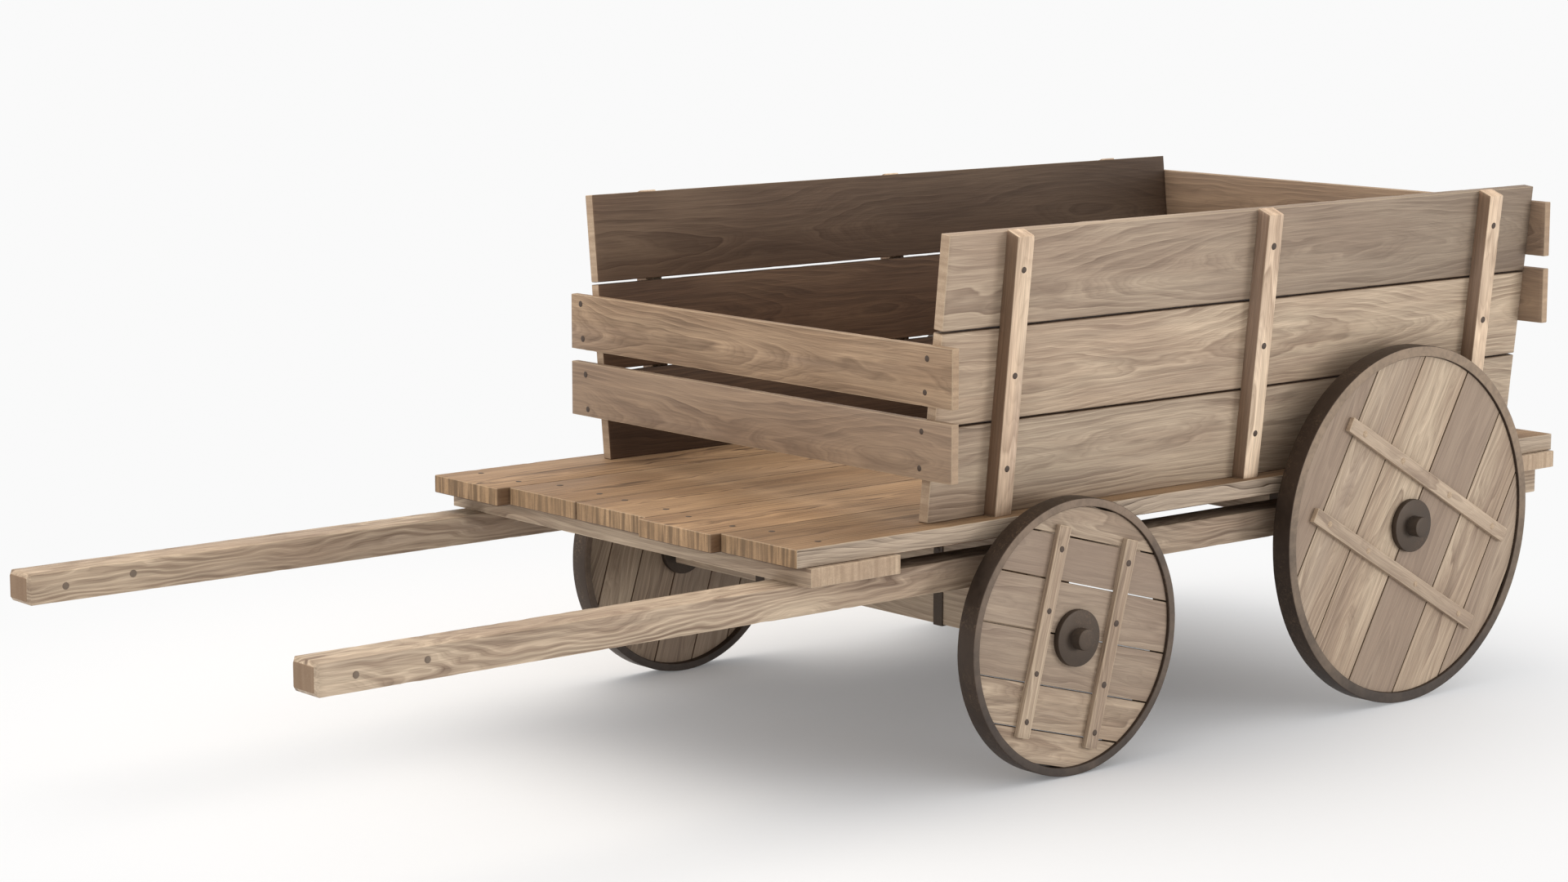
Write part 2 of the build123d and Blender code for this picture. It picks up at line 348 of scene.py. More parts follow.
# Growth rings of a bent log cut through by the board, with fibres, pores and striped end grain
def makeWoodFigure():
    inputs = {"Grain": (0.0, 0.0, 0.0), "End Face": 0.0, "Ring Width": 0.014, "Swirl": 0.1}
    inputs.update({"Ripple": 0.017, "Softness": 0.3, "Stripe": 1.0})
    outputs = {"Float": ["Figure", "Cloud", "Mauve", "Streak", "Fibre", "Height"]}
    group, given, out = newGroup("woodFigure", "ShaderNodeTree", inputs, outputs)
    link = group.links.new
    grain = given["Grain"]
    grainY, grainZ = splitVector(group, grain)[1:]

    def pattern(name, shift=None):
        along, across, detail, roughness = grainPatterns[name]
        place = vectorCalc(group, "MULTIPLY", grain, (along, across, across))
        if shift:
            place = vectorCalc(group, "ADD", place, shift)
        return noise(group, place, 1, detail, roughness)

    # rings: distance from a pith that wanders, so flat faces show arches and eyes
    bent = lengthOf(group, joinVector(group, 0.0, grainY, grainZ))
    amounts = {"wander": given["Swirl"], "ripple": given["Ripple"], "shiver": ringShape["shiver"]}
    for name, amount in amounts.items():
        bent = calc(group, "MULTIPLY_ADD", calc(group, "SUBTRACT", pattern(name), 0.5), amount, bent)
    turns = calc(group, "DIVIDE", bent, given["Ring Width"])
    year = calc(group, "FLOOR", turns)
    part = calc(group, "FRACT", turns)
    luck = put(group, "ShaderNodeTexWhiteNoise", {"W": year}, noise_dimensions="1D").outputs["Value"]
    power, height = ringShape["rise"]
    shade = times(group, calc(group, "POWER", part, power), height)
    line = smoothBand(group, part, *ringShape["lateWood"])
    drop = smoothBand(group, part, ringShape["yearEnd"], 1.0, 1.0, 0.0)
    ring = times(group, calc(group, "ADD", shade, line), drop)
    power, height = ringShape["swell"]
    swell = calc(group, "SINE", times(group, part, math.pi))
    swell = times(group, calc(group, "POWER", swell, power), height)
    ring = calc(group, "MULTIPLY_ADD", calc(group, "SUBTRACT", swell, ring), given["Softness"], ring)
    ring = times(group, ring, calc(group, "MULTIPLY_ADD", luck, *ringShape["luck"]))
    ring = times(group, ring, smoothBand(group, pattern("fading"), *ringShape["fading"]))
    lines, power, lineEnd, height = ringShape["fineLines"]
    fine = calc(group, "FRACT", times(group, turns, lines))
    fine = times(group, calc(group, "POWER", fine, power), smoothBand(group, fine, lineEnd, 1.0, 1.0, 0.0))
    ring = calc(group, "MULTIPLY_ADD", fine, height, ring)

    # end grain: stripes across the board's thickness
    shift, flattening, perMetre = ringShape["stripes"]
    place = joinVector(group, 0.0, calc(group, "ADD", grainY, shift), times(group, grainZ, flattening))
    stripes = smoothBand(group, noise(group, place, perMetre, 3.0, 0.6), *ringShape["stripeBand"])
    stripes = times(group, stripes, given["Stripe"])
    figure = mix(group, {"Factor": given["End Face"], "A": ring, "B": stripes}, data_type="FLOAT")
    link(figure, out["Figure"])

    fibre = pattern("fibre")
    link(fibre, out["Fibre"])
    link(pattern("cloud"), out["Cloud"])
    link(pattern("mauve", (7.0, 3.0, 5.0)), out["Mauve"])
    link(pattern("streak"), out["Streak"])
    relief = ringShape["relief"]
    height = calc(group, "MULTIPLY_ADD", figure, relief["figure"], times(group, fibre, relief["fibre"]))
    pore = smoothBand(group, pattern("pore"), *ringShape["poreBand"])
    link(calc(group, "MULTIPLY_ADD", pore, relief["pore"], height), out["Height"])
    return group


arrisPatches = {"scale": 55, "detail": 3.0, "roughness": 0.6}


# Paler arrises, broken up by noise: 1 on the edge, 0 inside
def makeEdgeRub():
    inputs = {"Place": (0.0, 0.0, 0.0), "Edge": 1.0, "Width": 0.004, "Break Up": 0.6, "Least": 0.6}
    group, given, out = newGroup("edgeRub", "ShaderNodeTree", inputs, {"Float": ["Rub"]})
    patch = noise(group, given["Place"], **arrisPatches)
    width = calc(group, "MULTIPLY_ADD", patch, given["Break Up"], given["Least"])
    width = times(group, given["Width"], width)
    group.links.new(smoothBand(group, given["Edge"], 0.0, width, 1.0, 0.0), out["Rub"])
    return group


ironPatterns = {
    "broad": {"scale": 9, "detail": 4.0, "roughness": 0.6},
    "mottled": {"scale": 60, "detail": 4.0, "roughness": 0.65},
    "freckles": {"detail": 3.0, "roughness": 0.7, "distortion": 1.2},
    "dents": {"scale": 26},
    "toneShares": {"mottled": 0.6, "broad": 0.4},
    "heightShares": {"dents": 0.6, "freckles": 0.3},
    "freckleBand": (0.5, 0.62),
    "rustyBand": (0.42, 0.66),
}


# Forge scale, hammer marks and rust freckles
def makeIronSkin():
    inputs = {"Place": (0.0, 0.0, 0.0), "Freckle Scale": 170.0, "Rust": 0.5}
    outputs = {"Float": ["Scale Tone", "Rust", "Height"]}
    group, given, out = newGroup("ironSkin", "ShaderNodeTree", inputs, outputs)
    link = group.links.new
    broad, mottled, dents = (
        noise(group, given["Place"], **ironPatterns[name]) for name in ("broad", "mottled", "dents")
    )
    freckles = noise(group, given["Place"], given["Freckle Scale"], **ironPatterns["freckles"])
    shares = ironPatterns["toneShares"]
    broadShare = times(group, broad, shares["broad"])
    link(calc(group, "MULTIPLY_ADD", mottled, shares["mottled"], broadShare), out["Scale Tone"])
    rust = smoothBand(group, freckles, *ironPatterns["freckleBand"])
    rust = times(group, rust, smoothBand(group, broad, *ironPatterns["rustyBand"]))
    link(times(group, rust, given["Rust"]), out["Rust"])
    shares = ironPatterns["heightShares"]
    freckleShare = times(group, freckles, shares["freckles"])
    link(calc(group, "MULTIPLY_ADD", dents, shares["dents"], freckleShare), out["Height"])
    return group


reliefs = {"wood": (0.35, 0.0012), "iron": (0.4, 0.0015), "peg": (0.3, 0.001)}  # bump strength, metres deep
boardPlace = makeBoardPlace()
woodFigure = makeWoodFigure()
edgeRub = makeEdgeRub()
ironSkin = makeIronSkin()


def makeWood(name, look):
    material, tree = startMaterial(name)
    place = useGroup(tree, boardPlace, {"Crevice Width": look["creviceWidth"]})
    figureInputs = {
        "Grain": place["Grain"],
        "End Face": place["End Face"],
        "Ring Width": look["ringWidth"],
        "Swirl": look["swirl"],
        "Ripple": look["ripple"],
        "Softness": look["softness"],
        "Stripe": look["stripe"],
    }
    figure = useGroup(tree, woodFigure, figureInputs)
    arrisInputs = {"Place": place["Grain"], "Edge": place["Edge"], "Width": look["arrisWidth"]}
    arrisPale = useGroup(tree, edgeRub, arrisInputs)["Rub"]

    def laidOver(mask, strength, color, blend="MIX"):
        mask = calc(tree, "MULTIPLY", mask, look[strength], clamp=True)
        return mixColor(tree, mask, ground, look[color], blend)

    # pale sapwood to warm heart, then the dark ring lines
    cloud = smoothBand(tree, figure["Cloud"], *look["cloudBand"])
    ground = mixColor(tree, cloud, look["pale"], look["middle"])
    # free sides recoloured: darker on the stakes, which is painted shade
    ground = laidOver(place["Bare Side"], "bareSideTone", "bareSideColor")
    ground = laidOver(smoothBand(tree, figure["Mauve"], *look["mauveBand"]), "mauve", "mauveColor")
    ground = laidOver(figure["Figure"], "contrast", "dark")
    ground = dimmed(tree, ground, smoothBand(tree, figure["Fibre"], *look["fibreBand"]))
    streak = smoothBand(tree, figure["Streak"], *look["streakBand"])
    ground = dimmed(tree, ground, times(tree, place["Tone"], streak))
    ground = mixColor(tree, place["Greyness"], ground, look["grey"])
    ground = laidOver(place["End Face"], "endPaleness", "endColor")
    ground = laidOver(arrisPale, "arrisPaleness", "arrisColor")
    # dirt and painted shade in the joints: on the sides that meet the next board and along the faces beside
    # them
    ground = laidOver(place["Crevice"], "creviceDirtAndShade", "dirtAndShadeColor")
    ground = laidOver(place["Seam"], "seamDirtAndShade", "dirtAndShadeColor")
    # painted shade on the lower face
    ground = laidOver(place["Painted Shade"], "paintedShade", "paintedShadeColor", "MULTIPLY")
    rough = smoothBand(tree, figure["Fibre"], 0.2, 0.8, *look["roughness"])
    inputs = {"Base Color": ground, "Roughness": rough, "Specular IOR Level": look["shine"]}
    endMaterial(tree, inputs, figure["Height"], *reliefs["wood"])
    return material


# The flanks of a tyre: a painted reflection, paler the higher up, with a mask of where they are
def tyreFlankSheen(tree, place, tone, look):
    facing = splitVector(tree, put(tree, "ShaderNodeTexCoord").outputs["Normal"])[1]
    flank = smoothBand(tree, calc(tree, "ABSOLUTE", facing), *look["flankBand"])
    height = times(tree, splitVector(tree, place)[2], look["risePerMetre"])
    varied = calc(tree, "MULTIPLY_ADD", noise(tree, place, 3.1, 3.0, 0.6), look["patchiness"], height)
    sheen = mixColor(tree, smoothBand(tree, varied, *look["sheenBand"]), look["flankLowColor"], look["flankSheenColor"])
    return flank, dimmed(tree, sheen, smoothBand(tree, tone, *look["speckleBand"]))


def makeIron(name, look):
    material, tree = startMaterial(name)
    place = put(tree, "ShaderNodeTexCoord").outputs["Object"]
    skin = useGroup(tree, ironSkin, {"Place": place, "Rust": look["rust"], "Freckle Scale": look["freckles"]})
    tone = skin["Scale Tone"]
    color = mixColor(tree, tone, look["dark"], look["pale"])
    color = mixColor(tree, skin["Rust"], color, look["rustColor"])
    rough = smoothBand(tree, tone, 0.2, 0.8, *look["roughness"])
    metal = smoothBand(tree, skin["Rust"], 0.0, 1.0, look["metal"], 0.1)
    if "flankSheenColor" in look:
        # painted reflection on the flanks
        flank, sheen = tyreFlankSheen(tree, place, tone, look)
        color = mixColor(tree, flank, color, sheen)
        metal = times(tree, metal, smoothBand(tree, flank, 0.0, 1.0, 1.0, look["flankMetal"]))
        rough = calc(tree, "MAXIMUM", rough, times(tree, flank, look["flankRoughness"]))
    inputs = {"Base Color": color, "Roughness": rough, "Metallic": metal}
    endMaterial(tree, inputs, skin["Height"], *reliefs["iron"])
    return material


# End grain of a turned peg: pale, with fine rings
def makePegWood():
    material, tree = startMaterial("pegWood")
    rings = noise(tree, put(tree, "ShaderNodeTexCoord").outputs["Object"], 420, 3.0, 0.6)
    color = mixColor(tree, smoothBand(tree, rings, 0.35, 0.7), paint(182, 160, 134), paint(144, 120, 97))
    endMaterial(tree, {"Base Color": color, "Roughness": 0.7}, rings, *reliefs["peg"])
    return material


boardLook = {
    "ringWidth": 0.0082,
    "swirl": 0.15,
    "ripple": 0.024,
    "softness": 0.4,
    "stripe": 0.6,
    "pale": paint(198, 178, 154),
    "middle": paint(174, 152, 130),
    "dark": paint(112, 90, 73),
    "contrast": 1.0,
    "cloudBand": (0.34, 0.66),
    "mauveBand": (0.5, 0.75),
    "fibreBand": (0.28, 0.72, 0.82, 1.12),
    "streakBand": (0.3, 0.7, 0.88, 1.07),
    "mauve": 0.45,
    "mauveColor": paint(152, 133, 119),
    "grey": paint(146, 127, 112),
    "endPaleness": 0.35,
    "endColor": paint(188, 160, 130),
    "arrisWidth": 0.003,
    "arrisPaleness": 0.4,
    "arrisColor": paint(210, 190, 162),
    # dirt and painted shade in the joints between boards
    "seamDirtAndShade": 0.9,
    "creviceDirtAndShade": 0.6,
    "creviceWidth": 0.0035,
    "dirtAndShadeColor": paint(84, 58, 38),
    # a board's free sides recoloured: darker on the stakes as painted shade, paler and greyer on the deck
    "bareSideTone": 0.0,
    "bareSideColor": paint(190, 172, 152),
    # painted shade on a board's lower face
    "paintedShade": 0.95,
    "paintedShadeColor": paint(116, 89, 66),
    "roughness": (0.72, 0.56),
    "shine": 0.32,
}
woodLooks = {  # what differs from boardLook
    "frameWood": {},
    "deckWood": {
        "pale": paint(172, 140, 106),
        "middle": paint(143, 113, 83),
        "dark": paint(66, 46, 30),
        "contrast": 1.12,
        "arrisPaleness": 0.28,
        "ringWidth": 0.007,
        "softness": 0.2,
        "stripe": 0.95,
        "endPaleness": 0.25,
        "mauve": 0.15,
        "grey": paint(140, 114, 88),
        "endColor": paint(192, 160, 122),
        "bareSideTone": 0.9,
    },
    "wheelWood": {"ringWidth": 0.0065, "swirl": 0.08, "seamDirtAndShade": 0.95, "creviceWidth": 0.0018},
    "shaftWood": {
        "ringWidth": 0.0135,
        "swirl": 0.2,
        "ripple": 0.085,
        "softness": 0.85,
        "endPaleness": 0.85,
        "endColor": paint(128, 102, 78),
    },
    # the stakes' free sides darkened: painted shade
    "stakeWood": {"ringWidth": 0.012, "endPaleness": 0.1, "bareSideTone": 0.9, "bareSideColor": paint(80, 59, 42)},
    "endBoardWood": {
        "pale": paint(174, 148, 121),
        "middle": paint(152, 126, 101),
        "dark": paint(86, 64, 48),
    },
}
tyreLook = {
    "dark": paint(44, 36, 30),
    "pale": paint(84, 70, 60),
    "rustColor": paint(140, 116, 92),
    "rust": 0.3,
    "flankLowColor": paint(62, 52, 45),
    "flankBand": (0.6, 0.9),
    "sheenBand": (0.42, 0.95),
    "speckleBand": (0.35, 0.6, 0.78, 1.08),
    "risePerMetre": 0.75,
    "patchiness": 0.9,
    "flankMetal": 0.15,
    "flankRoughness": 0.7,
    "freckles": 150.0,
    "roughness": (0.42, 0.62),
    "metal": 0.7,
}
ironLooks = {
    # the flanks' paler colour is a painted reflection
    "frontTyreIron": {**tyreLook, "flankSheenColor": paint(122, 104, 88)},
    "rearTyreIron": {**tyreLook, "flankSheenColor": paint(138, 119, 100)},
    "hubIron": {
        "dark": paint(52, 44, 38),
        "pale": paint(88, 75, 64),
        "rustColor": paint(120, 96, 76),
        "rust": 0.25,
        "freckles": 210.0,
        "roughness": (0.47, 0.67),
        "metal": 0.6,
    },
    "pegIron": {
        "dark": paint(92, 79, 67),
        "pale": paint(132, 116, 101),
        "rustColor": paint(120, 96, 76),
        "rust": 0.2,
        "freckles": 600.0,
        "roughness": (0.57, 0.77),
        "metal": 0.2,
    },
    "nailIron": {
        "dark": paint(58, 48, 42),
        "pale": paint(90, 76, 66),
        "rustColor": paint(110, 84, 66),
        "rust": 0.3,
        "freckles": 600.0,
        "roughness": (0.52, 0.72),
        "metal": 0.4,
    },
}
finishes = {name: makeWood(name, {**boardLook, **changes}) for name, changes in woodLooks.items()}
finishes.update({name: makeIron(name, look) for name, look in ironLooks.items()})
finishes["pegWood"] = makePegWood()

print("stage 3: node trees for what repeats")


def roundedSection(tree, width, height, arris, facets):
    section = feed(tree, "GeometryNodeCurvePrimitiveQuadrilateral", {"Width": width, "Height": height})
    fillet = {"Curve": section, "Count": facets, "Radius": arris}
    section = feed(tree, "GeometryNodeFilletCurve", fillet, mode="POLY")
    return feed(tree, "GeometryNodeSubdivideCurve", {"Curve": section, "Cuts": 1})


def movePoints(tree, geometry, **move):
    return feed(tree, "GeometryNodeSetPosition", {"Geometry": geometry, **move})


def pushOut(tree, geometry, distance):
    normal = feed(tree, "GeometryNodeInputNormal")
    shift = feed(tree, "ShaderNodeVectorMath", {0: normal, "Scale": distance}, operation="SCALE")
    return movePoints(tree, geometry, Offset=shift)


def waves(tree, spot, scale, depth):
    return times(tree, calc(tree, "SUBTRACT", noise(tree, spot, scale), 0.5), depth, 2.0)


def endTree(tree, geometry, finish, socket):
    geometry = feed(tree, "GeometryNodeRealizeInstances", {"Geometry": geometry})
    geometry = feed(tree, "GeometryNodeSetMaterial", {"Geometry": geometry, "Material": finish})
    tree.links.new(geometry, socket)
    return tree


wearPatterns = {
    "waves": 5.5,  # per metre
    "hammerMarks": 24,
    "nicks": {"scale": 21, "detail": 3.0, "roughness": 0.6},
    "nickBand": (0.5, 0.78),
    "nickReach": 1.3,  # times the arris
}


# A board along X with rounded arrises, cut ends and slight waves, which stores where its points lie
def makeSawnBoard():
    inputs = {
        "Length": 1.0,
        "Width": 0.2,
        "Thickness": 0.03,
        "Arris": 0.0018,
        "Low End Cut": 0.0015,
        "High End Cut": 0.0015,
        "Step": 0.012,
        "Wave": 0.0006,
        "Nicks": 0.0012,
        "Log": (0.0, 0.0, 0.1),
        "Snug": (0.0, 0.0, 0.0),
        "Tint": (1.0, 0.0, 0.0),
        "Finish": "NodeSocketMaterial",
    }
    tree, given, out = newGroup("sawnBoard", "GeometryNodeTree", inputs, {"Geometry": ["Board"]})
    halfLong = times(tree, given["Length"], 0.5)
    steps = calc(tree, "ROUND", calc(tree, "DIVIDE", given["Length"], given["Step"]))
    count = calc(tree, "ADD", steps, 5.0)
    line = feed(tree, "GeometryNodeCurvePrimitiveLine", {"End": (1.0, 0.0, 0.0)})
    line = feed(tree, "GeometryNodeResampleCurve", {"Curve": line, "Count": count}, mode="COUNT")

    # the second and second last rings sit where the end cuts begin
    index = feed(tree, "GeometryNodeInputIndex")
    spaces = calc(tree, "SUBTRACT", count, 3.0)
    share = calc(tree, "DIVIDE", calc(tree, "SUBTRACT", index, 1.0), spaces, clamp=True)
    lowIn = calc(tree, "SUBTRACT", given["Low End Cut"], halfLong)
    highIn = calc(tree, "SUBTRACT", halfLong, given["High End Cut"])
    x = calc(tree, "MULTIPLY_ADD", share, calc(tree, "SUBTRACT", highIn, lowIn), lowIn)
    isLow = calc(tree, "LESS_THAN", index, 0.5)
    isHigh = calc(tree, "GREATER_THAN", index, calc(tree, "SUBTRACT", count, 1.5))
    x = calc(tree, "SUBTRACT", x, times(tree, isLow, given["Low End Cut"]))
    x = calc(tree, "MULTIPLY_ADD", isHigh, given["High End Cut"], x)
    spine = movePoints(tree, line, Position=joinVector(tree, x, 0.0, 0.0))
    spine = feed(tree, "GeometryNodeSetCurveNormal", {0: spine}, mode="Z_UP")
    section = roundedSection(tree, given["Width"], given["Thickness"], given["Arris"], 2)
    sweep = {"Curve": spine, "Profile Curve": section, "Fill Caps": True}
    solid = feed(tree, "GeometryNodeCurveToMesh", sweep)

    # the end cuts narrow the last ring
    alongX, acrossY, upZ = splitVector(tree, feed(tree, "GeometryNodeInputPosition"))
    lowCut = calc(tree, "MAXIMUM", calc(tree, "SUBTRACT", lowIn, alongX), 0.0)
    highCut = calc(tree, "MAXIMUM", calc(tree, "SUBTRACT", alongX, highIn), 0.0)
    inset = calc(tree, "ADD", lowCut, highCut)

    def narrowed(value, full):
        shrink = calc(tree, "DIVIDE", times(tree, inset, 2.0), full)
        return times(tree, value, calc(tree, "SUBTRACT", 1.0, shrink))

    cut = joinVector(tree, alongX, narrowed(acrossY, given["Width"]), narrowed(upZ, given["Thickness"]))
    solid = movePoints(tree, solid, Position=cut)

    # remember the board's own coordinates before it is worn
    place = feed(tree, "GeometryNodeInputPosition")
    full = joinVector(tree, given["Length"], given["Width"], given["Thickness"])
    half = vectorCalc(tree, "MULTIPLY", full, (0.5, 0.5, 0.5))
    kept = {"local": place, "half": half, "log": given["Log"], "snug": given["Snug"], "tint": given["Tint"]}
    vector = {"data_type": "FLOAT_VECTOR", "domain": "POINT"}
    for label, value in kept.items():
        note = {"Geometry": solid, "Name": label, "Value": value}
        solid = feed(tree, "GeometryNodeStoreNamedAttribute", note, **vector)

    # waves on the faces, and nicks where both the width and the thickness are near their limit
    position = feed(tree, "GeometryNodeInputPosition")
    spot = vectorCalc(tree, "ADD", position, given["Log"])
    acrossY, upZ = splitVector(tree, position)[1:]
    reach = times(tree, given["Arris"], wearPatterns["nickReach"])

    def nearLimit(value, full):
        gap = calc(tree, "SUBTRACT", times(tree, full, 0.5), calc(tree, "ABSOLUTE", value))
        return calc(tree, "LESS_THAN", gap, reach)

    corner = times(tree, nearLimit(acrossY, given["Width"]), nearLimit(upZ, given["Thickness"]))
    bite = smoothBand(tree, noise(tree, spot, **wearPatterns["nicks"]), *wearPatterns["nickBand"])
    bite = times(tree, bite, corner, given["Nicks"])
    wave = waves(tree, spot, wearPatterns["waves"], given["Wave"])
    varied = pushOut(tree, solid, calc(tree, "SUBTRACT", wave, bite))
    return endTree(tree, varied, given["Finish"], out["Board"])


# A domed head on every point of the input mesh, turned to the point's heading
def makeNailRow():
    inputs = {
        "Places": "NodeSocketGeometry",
        "Head Radius": 0.007,
        "Dome": 0.0014,
        "Unevenness": 0.12,
        "Least": 0.9,
        "Most": 1.06,
        "Seed": 1,
        "Finish": "NodeSocketMaterial",
    }
    tree, given, out = newGroup("nailRow", "GeometryNodeTree", inputs, {"Geometry": ["Heads"]})
    ball = feed(tree, "GeometryNodeMeshUVSphere", {"Segments": 14, "Rings": 6, "Radius": 1.0})
    limits = {"Min": given["Least"], "Max": given["Most"], "Seed": given["Seed"]}
    size = openSocket(put(tree, "FunctionNodeRandomValue", limits, data_type="FLOAT").outputs, "Value")
    size = times(tree, size, given["Head Radius"])
    height = times(tree, size, calc(tree, "DIVIDE", given["Dome"], given["Head Radius"]))
    limits = {"Min": (-1.0, -1.0, -1.0), "Seed": given["Seed"]}
    lean = feed(tree, "FunctionNodeRandomValue", limits, data_type="FLOAT_VECTOR")
    leaning = {0: lean, "Scale": given["Unevenness"]}
    lean = feed(tree, "ShaderNodeVectorMath", leaning, operation="SCALE")
    heading = feed(tree, "GeometryNodeInputNamedAttribute", {"Name": "heading"}, data_type="FLOAT_VECTOR")
    heading = vectorCalc(tree, "ADD", heading, lean)
    turn = feed(tree, "FunctionNodeAlignRotationToVector", {"Vector": heading}, axis="Z")
    copies = {"Points": given["Places"], "Instance": ball, "Rotation": turn}
    copies["Scale"] = joinVector(tree, size, size, height)
    heads = feed(tree, "GeometryNodeInstanceOnPoints", copies)
    return endTree(tree, heads, given["Finish"], out["Heads"])


# A tyre round the Z axis: a rounded bar bent round a circle, with hammer marks
def makeIronHoop():
    inputs = {
        "Radius": 0.3,
        "Width": 0.05,
        "Thickness": 0.019,
        "Arris": 0.003,
        "Segments": 160,
        "Hammer": 0.0006,
        "Seed": 1,
        "Finish": "NodeSocketMaterial",
    }
    tree, given, out = newGroup("ironHoop", "GeometryNodeTree", inputs, {"Geometry": ["Hoop"]})
    middle = calc(tree, "SUBTRACT", given["Radius"], times(tree, given["Thickness"], 0.5))
    circle = {"Resolution": given["Segments"], "Radius": middle}
    ring = feed(tree, "GeometryNodeCurvePrimitiveCircle", circle)
    bar = roundedSection(tree, given["Thickness"], given["Width"], given["Arris"], 4)
    hoop = feed(tree, "GeometryNodeCurveToMesh", {"Curve": ring, "Profile Curve": bar})
    shift = joinVector(tree, given["Seed"], 0.0, 0.0)
    spot = vectorCalc(tree, "ADD", feed(tree, "GeometryNodeInputPosition"), shift)
    hoop = pushOut(tree, hoop, waves(tree, spot, wearPatterns["hammerMarks"], given["Hammer"]))
    return endTree(tree, hoop, given["Finish"], out["Hoop"])


sawnBoard = makeSawnBoard()
nailRow = makeNailRow()
ironHoop = makeIronHoop()


# Runs a node tree on a holder object and keeps the result as a plain mesh
def grow(tree, values, base=None):
    holder = bpy.data.objects.new("holder", base or bpy.data.meshes.new("holder"))
    scene.collection.objects.link(holder)
    modifier = holder.modifiers.new("build", "NODES")
    modifier.node_group = tree
    for item in tree.interface.items_tree:
        if item.in_out == "INPUT" and item.name in values:
            modifier[item.identifier] = values[item.name]
    depsgraph = bpy.context.evaluated_depsgraph_get()
    grown = holder.evaluated_get(depsgraph)
    mesh = bpy.data.meshes.new_from_object(grown, preserve_all_data_layers=True, depsgraph=depsgraph)
    bpy.data.objects.remove(holder)
    return mesh


# Makes the mesh a piece of the cart that rides on a body and stands for its CAD node
def setPiece(mesh, node, ending, body, finish=None, smoothAngle=None):
    mesh.name = node + ending
    if finish:
        mesh.materials.append(finishes[finish])
    if smoothAngle:
        mesh.shade_smooth()
        mesh.set_sharp_from_angle(angle=math.radians(smoothAngle))
    piece = bpy.data.objects.new(node + ending, mesh)
    scene.collection.objects.link(piece)
    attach(piece, body)
    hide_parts(node)


def joinMeshes(meshes):
    whole = bmesh.new()
    for mesh in meshes:
        whole.from_mesh(mesh)
        bpy.data.meshes.remove(mesh)
    joined = bpy.data.meshes.new("joined")
    whole.to_mesh(joined)
    whole.free()
    return joined


def axesMatrix(along, across, up, centre):
    columns = Matrix((along, across, up)).transposed().to_4x4()
    return Matrix.Translation(centre) @ columns


def boxOf(node):
    low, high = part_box(node)
    return (low + high) / 2, high - low


def innerFace(node, s):  # how far a node's inner face is from the cart's middle
    low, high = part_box(node)
    return low.y if s > 0 else -high.y


dice = random.Random(41)


# A board's brightness, how grey it has gone, and how its brightness changes per metre of length
def pickTint(spread=0.1, greying=0.35, middle=1.0):
    bright = middle * (1 + dice.uniform(-spread, spread * 0.6))
    return (bright, max(0.0, dice.uniform(-1.2, 1)) * greying, 0.0)


# Which stretch of which log a board is sawn from
def pickLog(offCentre=0.03, depth=(0.05, 0.12)):
    along, beside = dice.uniform(0, 60), dice.uniform(-offCentre, offCentre)
    return (along, beside, dice.choice((-1, 1)) * dice.uniform(*depth))


def growBoard(size, finish, log=None, **values):
    length, width, thickness = size
    settings = {"Length": length, "Width": width, "Thickness": thickness}
    settings.update({"Log": log or pickLog(), "Finish": finishes[finish]})
    if "Tint" not in values:
        settings["Tint"] = pickTint()
    return grow(sawnBoard, {**settings, **values})


print("stage 4: deck, cleats and shafts")

deckLook = {
    "wear": {"Arris": 0.0013, "Wave": 0.0004, "Nicks": 0.0012},
    "brightness": [1.08, 1.1, 1.14, 1.18, 0.88],  # from the right plank to the left one
}
shaftLook = {
    "wear": {"Arris": 0.003, "Step": 0.015, "Wave": 0.0005, "Nicks": 0.0014},
    "ends": {"Low End Cut": 0.009, "High End Cut": 0.002},
    "tint": (0.94, 0.0, -0.05),
}


# A board whose length runs from the front to the rear of the cart
def makeLongBoard(node, slot, finish, **values):
    centre, size = boxOf(node)
    flat = size.y > size.z
    across, up = ((0, 1, 0), (0, 0, 1)) if flat else ((0, 0, 1), (0, -1, 0))
    mesh = growBoard((size.x, max(size.y, size.z), min(size.y, size.z)), finish, **values)
    mesh.transform(axesMatrix((1, 0, 0), across, up, centre))
    setPiece(mesh, node, "_wood", "cart")


# A board whose length runs from side to side, lying flat or standing on its edge
def makeCrossBoard(node, finish, wear, standing):
    centre, size = boxOf(node)
    width, thickness = (size.z, size.x) if standing else (size.x, size.z)
    mesh = growBoard((size.y, width, thickness), finish, **wear)
    across, up = ((0, 0, 1), (1, 0, 0)) if standing else ((-1, 0, 0), (0, 0, 1))
    mesh.transform(axesMatrix((0, 1, 0), across, up, centre))
    setPiece(mesh, node, "_wood", "cart")


for number, brightness in enumerate(deckLook["brightness"], 1):
    # the planks' undersides take full painted shade
    snug = (float(number < 5), float(number > 1), 1.0)  # the outermost edges are free
    bright, grey, change = pickTint()
    tint = (bright * brightness, grey, change)
    makeLongBoard(f"deck_plank_{number}", "deck_oak", "deckWood", Snug=snug, Tint=tint, **deckLook["wear"])

for side in sides:
    wear = {**shaftLook["wear"], **shaftLook["ends"]}
    makeLongBoard(f"{side}_shaft", "frame_oak", "shaftWood", Tint=shaftLook["tint"], **wear)

for end in ends:
    makeCrossBoard(f"{end}_cleat", "frameWood", deckLook["wear"], False)

print("stage 5: sides, stakes and end boards")

